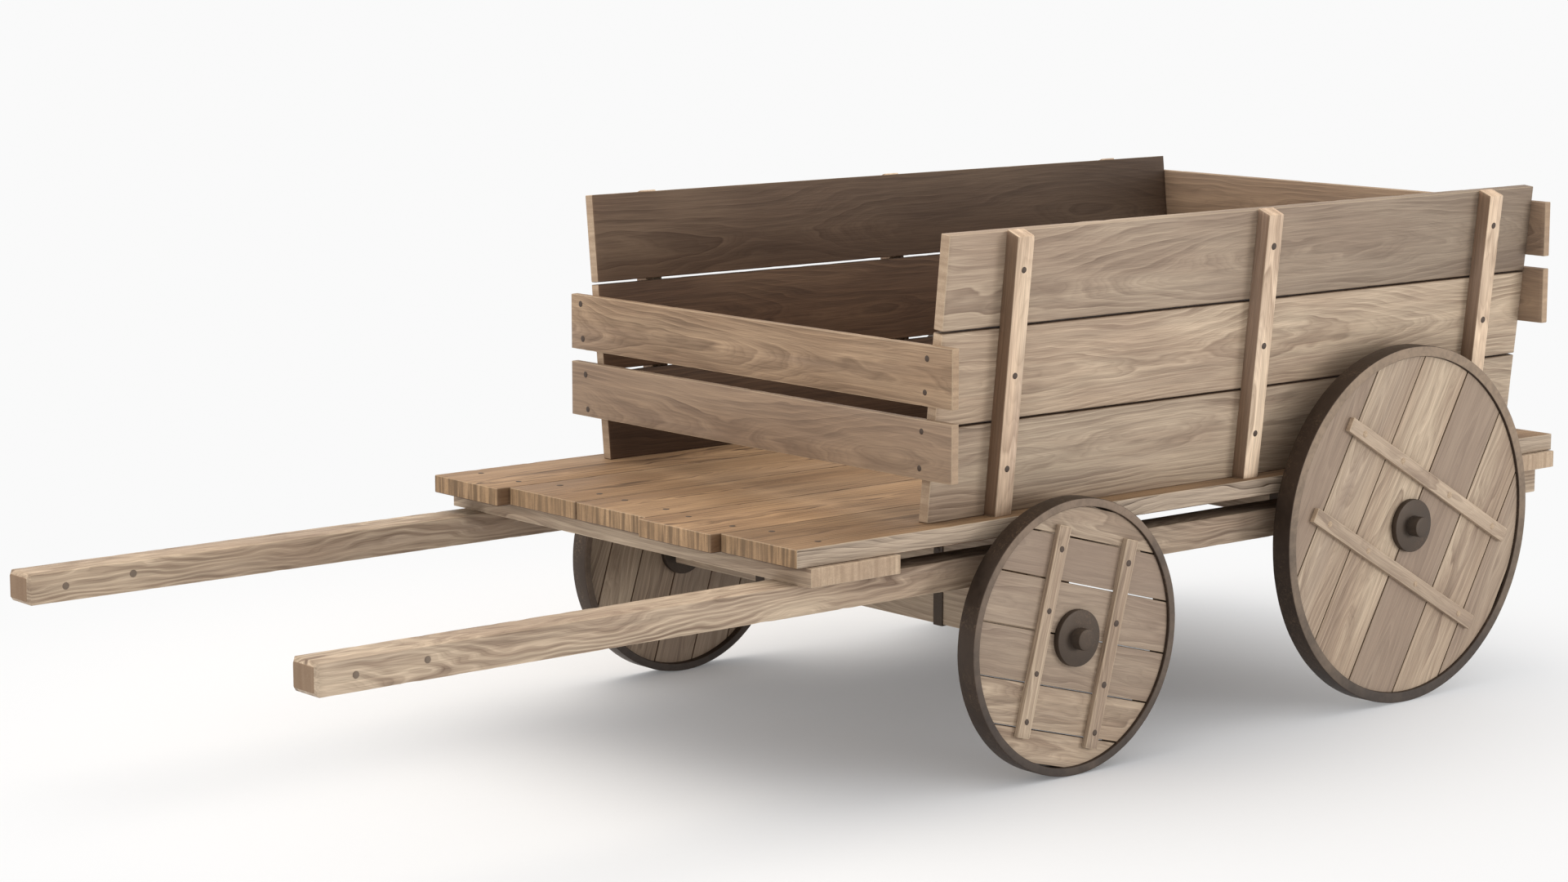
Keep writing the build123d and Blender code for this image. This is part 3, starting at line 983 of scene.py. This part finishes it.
sideLook = {
    "lean": math.radians(6.04),
    "innerHalf": 0.539,
    "deckTop": 0.570,
    "thick": 0.028,
    "boards": {"bottom": (0, 0.2061), "middle": (0.2111, 0.4122), "top": (0.4172, 0.6219)},  # up the lean
    "tints": {"bottom": (0.86, 0.05, 0.0), "middle": (1.04, 0.0, -0.04), "top": (0.75, 0.25, -0.29)},
    # the third number is how much painted shade the board's inner face takes
    "snug": {"bottom": (1.0, 1.0, 0.95), "middle": (1.0, 1.0, 0.95), "top": (1.0, 0.0, 0.78)},
    "wear": {"Arris": 0.0014, "Wave": 0.0005, "Nicks": 0.0012},
}
slope = math.tan(sideLook["lean"])
stakeLook = {
    "drop": 0.014,  # how far the top slopes down to the outside
    "topZone": 0.05,
    "deep": 0.0365,  # square to the side boards
    "brightness": (1.45, 1.57),
    "wear": {"Arris": 0.0018, "Step": 0.01, "Nicks": 0.0014},
}


def settle(mesh, matrix):  # also where the matrix mirrors
    mesh.transform(matrix)
    if matrix.determinant() < 0:
        mesh.flip_normals()


# A board of the leaning side; the bottom one's lower edge is cut level to sit on the deck
def makeSideBoard(side, s, level):
    node = f"{side}_side_board_{level}"
    centre, size = boxOf(node)
    lean, thickness = sideLook["lean"], sideLook["thick"]
    foot, head = sideLook["boards"][level]
    width = head - foot
    values = {"Snug": sideLook["snug"][level], "Tint": sideLook["tints"][level]}
    mesh = growBoard((size.x, width, thickness), "frameWood", **values, **sideLook["wear"])
    if foot == 0:
        for vertex in mesh.vertices:
            lowness = max(0, -vertex.co.y / width * 2)
            vertex.co.y += lowness * (vertex.co.z + thickness / 2) * slope
    up = Vector((0, s * math.sin(lean), math.cos(lean)))
    out = Vector((0, s * math.cos(lean), -math.sin(lean)))
    start = Vector((centre.x, s * sideLook["innerHalf"], sideLook["deckTop"]))
    settle(mesh, axesMatrix((1, 0, 0), up, out, start + up * (foot + head) / 2 + out * thickness / 2))
    setPiece(mesh, node, "_wood", "cart")


# A stake outside the side boards: long way up, its top sloping down to the outside
def makeStake(side, s, where):
    node = f"{side}_stake_{where}"
    centre, size = boxOf(node)
    depth = size.y - (size.z - stakeLook["drop"]) * slope
    tint = (dice.uniform(*stakeLook["brightness"]), 0.0, 0.0)
    mesh = growBoard((size.z, size.x, depth), "stakeWood", pickLog(0.02), Tint=tint, **stakeLook["wear"])
    for vertex in mesh.vertices:
        rise = max(0.0, (vertex.co.x - size.z / 2) / stakeLook["topZone"] + 1)
        outward = (vertex.co.z + depth / 2) / depth
        vertex.co.x -= rise * outward * stakeLook["drop"]
    foot = innerFace(node, s)
    middle = Vector((centre.x, s * (foot + depth / 2 + slope * size.z / 2), centre.z))
    settle(mesh, axesMatrix((0, s * slope, 1), (1, 0, 0), (0, s, 0), middle))
    setPiece(mesh, node, "_wood", "cart")


for side, s in sides.items():
    for level in sideLook["boards"]:
        makeSideBoard(side, s, level)
for side, s in sides.items():
    for where in stakePlaces:
        makeStake(side, s, where)
for end in ends:
    for level in ("lower", "upper"):
        makeCrossBoard(f"{end}_board_{level}", "endBoardWood", sideLook["wear"], True)

print("stage 6: axle beams, straps, rods and collars")

axleLook = {
    "beamArris": 0.003,
    "shaftTop": 0.490,
    "shaftBottom": 0.424,
    "shaftInner": 0.509,
    "shaftOuter": 0.595,
    "strapWide": 0.030,
    "strapArris": 0.0012,
    "rodSegments": 40,
    "rodRounding": [(0.0022, 0.0002), (0.0006, 0.0008), (0, 0.0024)],  # in from the side, in from the end
    "collarBore": 0.024,
    "collarInner": (0.656, 0.6706),  # the inner collars, from the cart's middle
    "collarThick": 0.0146,
    "collarCut": 0.0016,
    "collarCorner": 0.3,  # share of the cut that its middle keeps
    "collarSegments": 64,
    "smoothAngle": 35,
}


def storeVectors(mesh, name, vector):  # one vector for all points, or a list with one for each
    vectors = vector if isinstance(vector, list) else [vector] * len(mesh.vertices)
    layer = mesh.attributes.new(name, "FLOAT_VECTOR", "POINT")
    layer.data.foreach_set("vector", [c for v in vectors for c in v])


# A flat outline in the XY plane made a solid from z = 0 to its thickness, with rounded arrises
def extrudeOutline(outline, thickness, arris):
    shape = bmesh.new()
    face = shape.faces.new([shape.verts.new((u, v, 0)) for u, v in outline])
    face.normal_update()
    if face.normal.z > 0:
        face.normal_flip()
    pulled = bmesh.ops.extrude_face_region(shape, geom=[face])
    lifted = [g for g in pulled["geom"] if isinstance(g, bmesh.types.BMVert)]
    bmesh.ops.translate(shape, verts=lifted, vec=(0, 0, thickness))
    bmesh.ops.recalc_face_normals(shape, faces=shape.faces)
    sharp = [e for e in shape.edges if e.calc_face_angle(0) > math.radians(25)]
    rounding = {"offset": arris, "segments": 2, "profile": 0.5, "affect": "EDGES", "clamp_overlap": True}
    bmesh.ops.bevel(shape, geom=sharp, **rounding)
    mesh = bpy.data.meshes.new("solid")
    shape.to_mesh(mesh)
    shape.free()
    return mesh


# The notched beam: raised between the shafts to the deck, with its outline in the YZ plane
def makeBeam(end):
    node = f"{end}_axle_beam"
    centre, size = boxOf(node)
    low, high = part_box(node)
    side = [
        (high.y, low.z),
        (high.y, axleLook["shaftTop"]),
        (axleLook["shaftOuter"], axleLook["shaftTop"]),
        (axleLook["shaftOuter"], axleLook["shaftBottom"]),
        (axleLook["shaftInner"], axleLook["shaftBottom"]),
        (axleLook["shaftInner"], high.z),
    ]
    outline = side + [(-y, z) for y, z in reversed(side)]
    mesh = extrudeOutline(outline, size.x, axleLook["beamArris"])
    points = [(v.co.x, v.co.y - centre.z, v.co.z - size.x / 2) for v in mesh.vertices]
    storeVectors(mesh, "local", points)
    storeVectors(mesh, "half", (size.y / 2, size.z / 2, size.x / 2))
    storeVectors(mesh, "log", pickLog())
    storeVectors(mesh, "tint", pickTint())
    mesh.transform(axesMatrix((0, 1, 0), (0, 0, 1), (1, 0, 0), (low.x, 0, 0)))
    setPiece(mesh, node, "_wood", "cart", "frameWood")


# Two iron straps bent round the beam, open at the top
def makeStraps(end):
    node = f"{end}_axle_straps"
    low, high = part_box(node)
    beamLow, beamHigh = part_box(f"{end}_axle_beam")
    outline = [
        (low.x, high.z),
        (low.x, low.z),
        (high.x, low.z),
        (high.x, high.z),
        (beamHigh.x, high.z),
        (beamHigh.x, beamLow.z),
        (beamLow.x, beamLow.z),
        (beamLow.x, high.z),
    ]
    wide = axleLook["strapWide"]
    straps = []
    for y in (low.y, high.y - wide):
        strap = extrudeOutline(outline, wide, axleLook["strapArris"])
        strap.transform(axesMatrix((1, 0, 0), (0, 0, 1), (0, -1, 0), (0, y + wide, 0)))
        straps.append(strap)
    setPiece(joinMeshes(straps), node, "_iron", "cart", "hubIron")


def arcPoints(radius, start, stop, steps):
    angles = [start + (stop - start) * i / steps for i in range(steps + 1)]
    return [(radius * math.cos(t), radius * math.sin(t)) for t in angles]


# A closed ring or plug turned round Z from (radius, height) points, then laid along Y;
# a radius of zero closes it
def turned(profile, segments, centre):
    shape = bmesh.new()
    rings = []
    for radius, height in profile:
        circle = arcPoints(radius, 0, 2 * math.pi, segments)[:-1] if radius else [(0, 0)]
        rings.append([shape.verts.new((x, y, height)) for x, y in circle])
    pairs = list(zip(rings, rings[1:]))
    if len(rings[0]) > 1:
        pairs.append((rings[-1], rings[0]))
    for lower, upper in pairs:
        for i in range(segments):
            j = (i + 1) % segments
            corners = [ring[k % len(ring)] for ring, k in ((lower, i), (lower, j), (upper, j), (upper, i))]
            corners = list(dict.fromkeys(corners))
            if len(corners) > 2:
                shape.faces.new(corners)
    bmesh.ops.recalc_face_normals(shape, faces=shape.faces)
    mesh = bpy.data.meshes.new("turned")
    shape.to_mesh(mesh)
    shape.free()
    mesh.transform(axesMatrix((1, 0, 0), (0, 0, -1), (0, 1, 0), centre))
    return mesh


def makeRod(end):
    node = f"{end}_axle_rod"
    centre, size = boxOf(node)
    radius, half = size.x / 2, size.y / 2
    tip = [(0, -half), (radius * 0.5, -half)]
    tip += [(radius - inset, back - half) for inset, back in axleLook["rodRounding"]]
    profile = tip + [(radius, half * share) for share in (-0.5, 0, 0.5)]
    profile += [(r, -h) for r, h in reversed(tip)]
    mesh = turned(profile, axleLook["rodSegments"], centre)
    setPiece(mesh, node, "_iron", "cart", "hubIron", axleLook["smoothAngle"])


# Four thick washers keyed to the rod, two at each wheel
def makeCollars(end):
    node = f"{end}_axle_collars"
    centre, size = boxOf(node)
    axis = (centre.x, 0, centre.z)
    outer, bore, cut = size.x / 2, axleLook["collarBore"], axleLook["collarCut"]
    corner = cut * axleLook["collarCorner"]
    rounding = [(outer - cut, 0), (outer - corner, corner), (outer, cut)]
    spans = [axleLook["collarInner"], (size.y / 2 - axleLook["collarThick"], size.y / 2)]
    collars = []
    for s in sides.values():
        for span in spans:
            near, far = sorted(s * y for y in span)
            profile = [(bore, near)] + [(radius, near + rise) for radius, rise in rounding]
            profile += [(radius, far - rise) for radius, rise in reversed(rounding)] + [(bore, far)]
            collars.append(turned(profile, axleLook["collarSegments"], axis))
    mesh = joinMeshes(collars)
    setPiece(mesh, node, "_iron", "cart", "hubIron", axleLook["smoothAngle"])


for end in ends:
    makeBeam(end)
    makeStraps(end)
    makeRod(end)
    makeCollars(end)

print("stage 7: wheels")

wheelLook = {
    "seams": {"front": [-0.210, -0.1133, 0, 0.1133, 0.210], "rear": [-0.294, -0.159, 0, 0.159, 0.294]},
    "seamGap": 0.003,
    "rimGap": 0.004,
    "angles": {"front_left": -15, "front_right": 73, "rear_left": 60, "rear_right": 22},
    "boreRadius": 0.0341,
    "boreSteps": 10,
    "rimStep": 0.012,  # longest straight on the rim
    "plankArris": 0.001,
    "unevenness": 0.0005,
    # brightness and greyness of each plank, from the low seams to the high ones
    "tints": {
        "front_left": [(0.93, 0.0), (0.9, 0.0), (0.72, 0.35), (0.74, 0.45), (0.66, 0.6), (0.86, 0.15)],
        "rear_left": [(0.84, 0.3), (0.92, 0.1), (0.74, 0.5), (0.95, 0.0), (0.92, 0.1), (0.76, 0.45)],
    },
    # the far wheels' planks: darker than the near ones as painted shade, with random spread and greying
    "farWheelShadeTints": {"spread": 0.14, "greying": 0.5, "middle": 0.86},
    "tyreThick": {"front": 0.019, "rear": 0.025},
    "tyreRoom": 0.0003,  # kept free for the hammer marks
    "bushBore": 0.0242,
    "bushSegments": 40,
}
battenLook = {
    "offset": {"front": 0.105, "rear": 0.1145},
    "size": {"front": (0.462, 0.035, 0.014), "rear": (0.650, 0.035, 0.014)},
    "wear": {"Arris": 0.0015, "Nicks": 0.001, "Wave": 0.0003},
    "nailPlaces": {"front": [-0.195, -0.090, 0.0455, 0.180], "rear": [-0.267, -0.082, 0.115, 0.272]},
    # node ending, finish, slot, head radius and dome of what holds the battens
    "heads": {
        "front": ("nails", "nailIron", "nail_iron", 0.0074, 0.0012),
        "rear": ("pegs", "pegWood", "wheel_oak", 0.0078, 0.0022),
    },
}


# The outline of one disc plank between two seams, with the bore's half round if it reaches one
def plankOutline(radius, low, high, bore):
    start, stop = (math.asin(max(-1, min(1, v / radius))) for v in (low, high))
    steps = max(6, int(abs(stop - start) * radius / wheelLook["rimStep"]))
    right = arcPoints(radius, start, stop, steps)
    left = [(-x, y) for x, y in arcPoints(radius, stop, start, steps)]
    edge = low if abs(low) < abs(high) else high
    if abs(edge) >= bore:
        return cleaned(right + left)
    swing = math.acos(abs(edge) / bore)
    notch = [(-y, x) for x, y in arcPoints(bore, swing, -swing, wheelLook["boreSteps"])]
    if edge == low:
        return cleaned(right + left + notch)
    return cleaned(right + [(x, -y) for x, y in reversed(notch)] + left)


def cleaned(outline, least=1e-5):  # the outline without points that lie on the one before
    kept = []
    for point in outline:
        if not kept or (Vector(point) - Vector(kept[-1])).length > least:
            kept.append(point)
    if (Vector(kept[0]) - Vector(kept[-1])).length < least:
        kept.pop()
    return kept


# The wheel's own plane: X along its seams, Z outward from the cart
def hubMatrix(wheel, s, offset):
    centre = boxOf(f"{wheel}_tyre")[0]
    t = math.radians(wheelLook["angles"][wheel])
    along, out = Vector((math.cos(t), 0, math.sin(t))), Vector((0, s, 0))
    return axesMatrix(along, out.cross(along), out, (centre.x, s * offset, centre.z))


def setWheelPiece(mesh, wheel, part, ending, finish=None, smoothAngle=None):
    setPiece(mesh, f"{wheel}_{part}", ending, f"{wheel}_wheel", finish, smoothAngle)


def makeWheelPlanks(end, wheel, s):
    node = f"{wheel}_wheel_planks"
    size = boxOf(node)[1]
    thickness, radius = size.y, max(size.x, size.z) / 2
    seams, rimGap, seamGap = wheelLook["seams"][end], wheelLook["rimGap"], wheelLook["seamGap"]
    limits = [-radius, *seams, radius]
    gaps = [rimGap, *[seamGap / 2] * len(seams), rimGap]
    tints = wheelLook["tints"].get(wheel)
    planks = []
    for i in range(len(limits) - 1):
        low, high = limits[i] + gaps[i], limits[i + 1] - gaps[i + 1]
        outline = plankOutline(radius, low, high, wheelLook["boreRadius"])
        plank = extrudeOutline(outline, thickness, wheelLook["plankArris"])
        points = [(v.co.x, v.co.y - (low + high) / 2, v.co.z - thickness / 2) for v in plank.vertices]
        storeVectors(plank, "local", points)
        storeVectors(plank, "half", (radius * 2, (high - low) / 2, thickness / 2))
        storeVectors(plank, "log", pickLog())
        storeVectors(plank, "snug", (1, 1, 0))
        storeVectors(plank, "tint", (*tints[i], 0) if tints else pickTint(**wheelLook["farWheelShadeTints"]))
        lift = dice.uniform(-wheelLook["unevenness"], wheelLook["unevenness"])
        plank.transform(Matrix.Translation((0, 0, lift)))
        planks.append(plank)
    mesh = joinMeshes(planks)
    mesh.transform(hubMatrix(wheel, s, innerFace(node, s)))
    setWheelPiece(mesh, wheel, "wheel_planks", "_wood", "wheelWood")


def makeBattens(end, wheel, s):
    thickness = battenLook["size"][end][2]
    battens = []
    for u in (-battenLook["offset"][end], battenLook["offset"][end]):
        batten = growBoard(battenLook["size"][end], "wheelWood", pickLog(0.02), **battenLook["wear"])
        batten.transform(axesMatrix((0, 1, 0), (-1, 0, 0), (0, 0, 1), (u, 0, thickness / 2)))
        battens.append(batten)
    mesh = joinMeshes(battens)
    mesh.transform(hubMatrix(wheel, s, innerFace(f"{wheel}_battens", s)))
    setWheelPiece(mesh, wheel, "battens", "_wood", "wheelWood")


def makeTyre(end, wheel):
    centre, size = boxOf(f"{wheel}_tyre")
    values = {"Radius": size.z / 2 - wheelLook["tyreRoom"], "Width": size.y}
    values.update({"Thickness": wheelLook["tyreThick"][end], "Seed": dice.randrange(1, 90)})
    mesh = grow(ironHoop, {**values, "Finish": finishes[end + "TyreIron"]})
    mesh.transform(axesMatrix((1, 0, 0), (0, 0, 1), (0, -1, 0), centre))
    setWheelPiece(mesh, wheel, "tyre", "_iron", smoothAngle=50)


def makeBush(wheel):
    centre, size = boxOf(f"{wheel}_hub_bush")
    half, outer, bore = size.y / 2, size.x / 2, wheelLook["bushBore"]
    profile = [(bore, -half), (outer, -half), (outer, half), (bore, half)]
    mesh = turned(profile, wheelLook["bushSegments"], centre)
    setWheelPiece(mesh, wheel, "hub_bush", "_iron", "hubIron", axleLook["smoothAngle"])


def growHeads(places, headings, headRadius, dome, finish, **values):
    base = bpy.data.meshes.new("nailPlaces")
    base.from_pydata([tuple(p) for p in places], [], [])
    storeVectors(base, "heading", headings)
    values.update({"Head Radius": headRadius, "Dome": dome, "Finish": finishes[finish]})
    return grow(nailRow, values, base)


def makeBattenHeads(end, wheel, s):
    kind, finish, slot, headRadius, dome = battenLook["heads"][end]
    low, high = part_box(f"{wheel}_battens")
    matrix = hubMatrix(wheel, s, high.y if s > 0 else -low.y)
    offset = battenLook["offset"][end]
    places = [matrix @ Vector((u, v, 0)) for u in (-offset, offset) for v in battenLook["nailPlaces"][end]]
    mesh = growHeads(places, (0, s, 0), headRadius, dome, finish)
    setWheelPiece(mesh, wheel, "batten_" + kind, "_heads", smoothAngle=40)


for end in ends:
    for side, s in sides.items():
        wheel = f"{end}_{side}"
        makeWheelPlanks(end, wheel, s)
        makeBattens(end, wheel, s)
        makeTyre(end, wheel)
        makeBush(wheel)
        makeBattenHeads(end, wheel, s)

print("stage 8: nails and pegs of the cart")

nailLook = {
    "deckSpread": 0.074,
    "deckInset": [0.095, 0.103, 0.096, 0.098, 0.098],
    "stakeLevels": [0.674, 0.8765, 1.1035],
    "frontNails": [  # (y, z) on the front boards
        (-0.5636, 0.6905),
        (-0.5697, 0.770),
        (-0.5793, 0.8532),
        (-0.5854, 0.9254),
        (0.6013, 0.6846),
        (0.6096, 0.7662),
        (0.6188, 0.8499),
        (0.6267, 0.9321),
    ],
    "rearInset": 0.022,
    "strapInset": 0.015,
    "strapLevel": {"front": 0.447, "rear": 0.475},
    "shaftPegs": [(-1.692, 0.457), (-1.532, 0.463)],  # (x, z)
    "unevenness": 0.06,
}


def sideY(z):  # the inner face of a side at a height
    return sideLook["innerHalf"] + (z - sideLook["deckTop"]) * slope


# Each of these gives (place, heading) for every head

def deckNails():
    for number, inset in enumerate(nailLook["deckInset"], 1):
        low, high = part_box(f"deck_plank_{number}")
        middle = (low.y + high.y) / 2
        for x in (low.x + inset, high.x - inset):
            for y in (-nailLook["deckSpread"], nailLook["deckSpread"]):
                yield (x, middle + y, high.z), (0, 0, 1)


def stakeNails():
    lean = sideLook["lean"]
    out = (sideLook["thick"] + stakeLook["deep"]) / math.cos(lean)
    for side, s in sides.items():
        for where in stakePlaces:
            x = boxOf(f"{side}_stake_{where}")[0].x
            for z in nailLook["stakeLevels"]:
                yield (x, s * (sideY(z) + out), z), (0, s * math.cos(lean), -math.sin(lean))


def endNails():
    for y, z in nailLook["frontNails"]:
        yield (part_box("front_board_lower")[0].x, y, z), (-1, 0, 0)
    for level in ("lower", "upper"):
        low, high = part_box(f"rear_board_{level}")
        for z in (low.z + nailLook["rearInset"], high.z - nailLook["rearInset"]):
            for s in sides.values():
                yield (high.x, s * (sideY(z) + sideLook["thick"] / 2), z), (1, 0, 0)


def strapNails():
    for end in ends:
        low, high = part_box(f"{end}_axle_straps")
        for x, heading in ((low.x, -1), (high.x, 1)):
            for s in sides.values():
                y = s * (high.y - nailLook["strapInset"])
                yield (x, y, nailLook["strapLevel"][end]), (heading, 0, 0)


def shaftPegs():
    for side in sides:
        low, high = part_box(f"{side}_shaft")
        for x, z in nailLook["shaftPegs"]:
            for face, heading in ((low.y, -1), (high.y, 1)):
                yield (x, face, z), (0, heading, 0)


cartHeads = {  # what gives the places, head radius, dome and finish
    "deck_nails": (deckNails, 0.0078, 0.0012, "nailIron"),
    "stake_nails": (stakeNails, 0.0078, 0.0014, "nailIron"),
    "end_board_nails": (endNails, 0.0072, 0.0014, "nailIron"),
    "strap_nails": (strapNails, 0.0065, 0.003, "nailIron"),
    "shaft_pegs": (shaftPegs, 0.0082, 0.0016, "pegIron"),
}
for node, (pairsOf, *look) in cartHeads.items():
    places, headings = zip(*pairsOf())
    mesh = growHeads(places, list(headings), *look, Unevenness=nailLook["unevenness"])
    setPiece(mesh, node, "_heads", "cart", smoothAngle=40)
